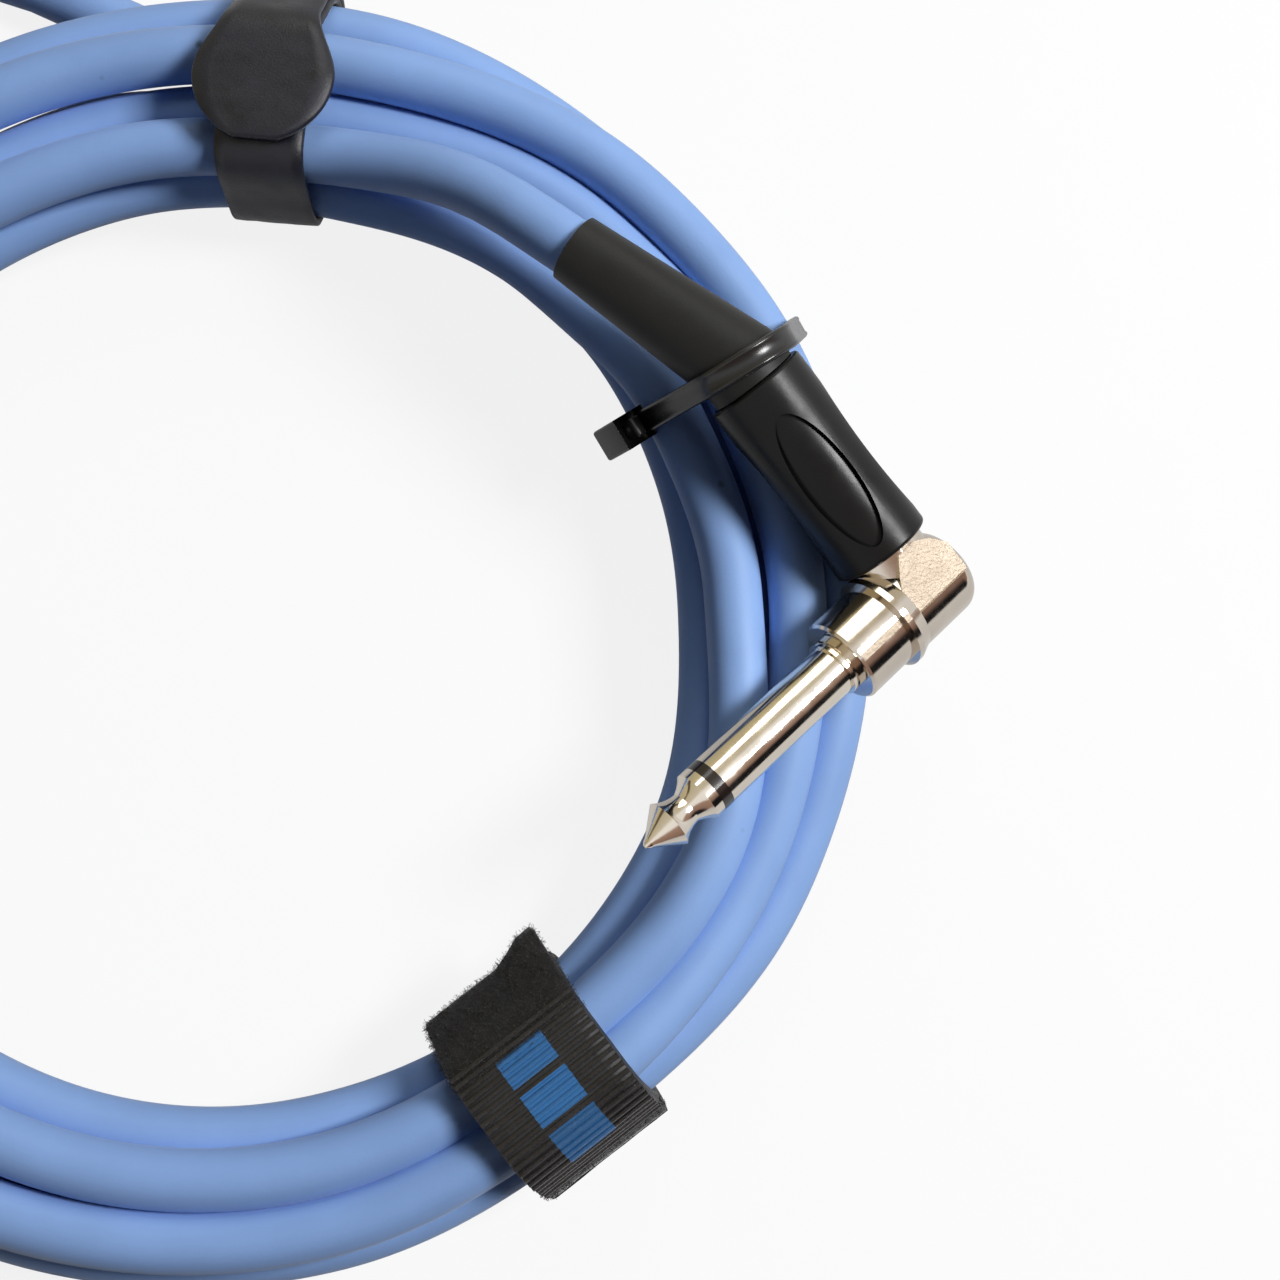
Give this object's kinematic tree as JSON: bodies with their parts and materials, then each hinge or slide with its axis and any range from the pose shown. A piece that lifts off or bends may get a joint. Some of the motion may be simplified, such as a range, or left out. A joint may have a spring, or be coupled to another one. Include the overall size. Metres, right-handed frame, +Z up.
{
  "type": "instrument cable",
  "caption": "Coiled instrument cable with a right-angle and a straight 6.35 mm plug, a cable tie and hook-and-loop straps.",
  "frame": {"origin": "middle of the box round the plugs, the tie and the straps, on the surface that the coil lies on", "axes": "+Z up out of the coil; the clock angle starts at +Y; the straight plug points along -Y"},
  "size_m": [0.1868, 0.1715, 0.033],
  "materials": {
    "nickel": "polished",
    "ring_black": "gloss",
    "insulator": "matte",
    "tinned_steel": "satin",
    "core_white": "matte",
    "copper": "satin",
    "barrel_black": "satin",
    "boot_black": "matte",
    "jacket_blue": "satin",
    "nylon_black": "gloss",
    "hook_black": "matte",
    "strap_black": "matte"
  },
  "bodies": {
    "lead": {"angle_barrel": "barrel_black", "angle_cable_clamp": "tinned_steel", "angle_cable_tail": "jacket_blue", "angle_core_wire": "core_white", "angle_drain_wire": "copper", "angle_head": "nickel", "angle_insulator_ring": "ring_black", "angle_rod_insulator": "insulator", "angle_sleeve": "nickel", "angle_strain_relief": "boot_black", "angle_tip": "nickel", "angle_tip_lug": "tinned_steel", "angle_washer": "insulator", "cable_coil": "jacket_blue", "cable_tie": "nylon_black", "straight_body": "nickel", "straight_cable_clamp": "tinned_steel", "straight_cable_end": "jacket_blue", "straight_cable_tail": "jacket_blue", "straight_core_wire": "core_white", "straight_drain_wire": "copper", "straight_insulator_ring": "ring_black", "straight_rod_insulator": "insulator", "straight_sleeve": "nickel", "straight_tip": "nickel", "straight_tip_lug": "tinned_steel", "straight_washer": "insulator", "strap_band": "strap_black", "strap_hook_patch": "hook_black", "top_strap_band": "strap_black", "top_strap_hook_patch": "hook_black"},
    "barrel_carrier": {"straight_strain_relief": "boot_black"},
    "barrel": {"straight_barrel": "barrel_black", "straight_liner": "insulator"},
    "strap_end": {"strap_flap": "strap_black"},
    "top_strap_end": {"top_strap_flap": "strap_black"}
  },
  "joints": [
    {"name": "barrel_slide", "type": "slide", "parent": "lead", "child": "barrel_carrier", "axis": [0, 1, 0], "range_m": [0, 0.007]},
    {"name": "barrel_turn", "type": "hinge", "parent": "barrel_carrier", "child": "barrel", "pos_m": [-0.08708, -0.04812, 0.0063], "axis": [0, 1, 0], "range_deg": [0, 2520]},
    {"name": "strap_peel", "type": "hinge", "parent": "lead", "child": "strap_end", "pos_m": [0.05005, -0.06742, 0.01], "axis": [0.7944, 0.6074, 0], "range_deg": [0, 110]},
    {"name": "top_strap_peel", "type": "hinge", "parent": "lead", "child": "top_strap_end", "pos_m": [0.00989, 0.07864, 0.01], "axis": [-0.996, 0.0889, 0], "range_deg": [0, 110]}
  ],
  "couplings": [
    {"joint": "barrel_turn", "follows": "barrel_slide", "rad_per_m": 6283.2}
  ]
}
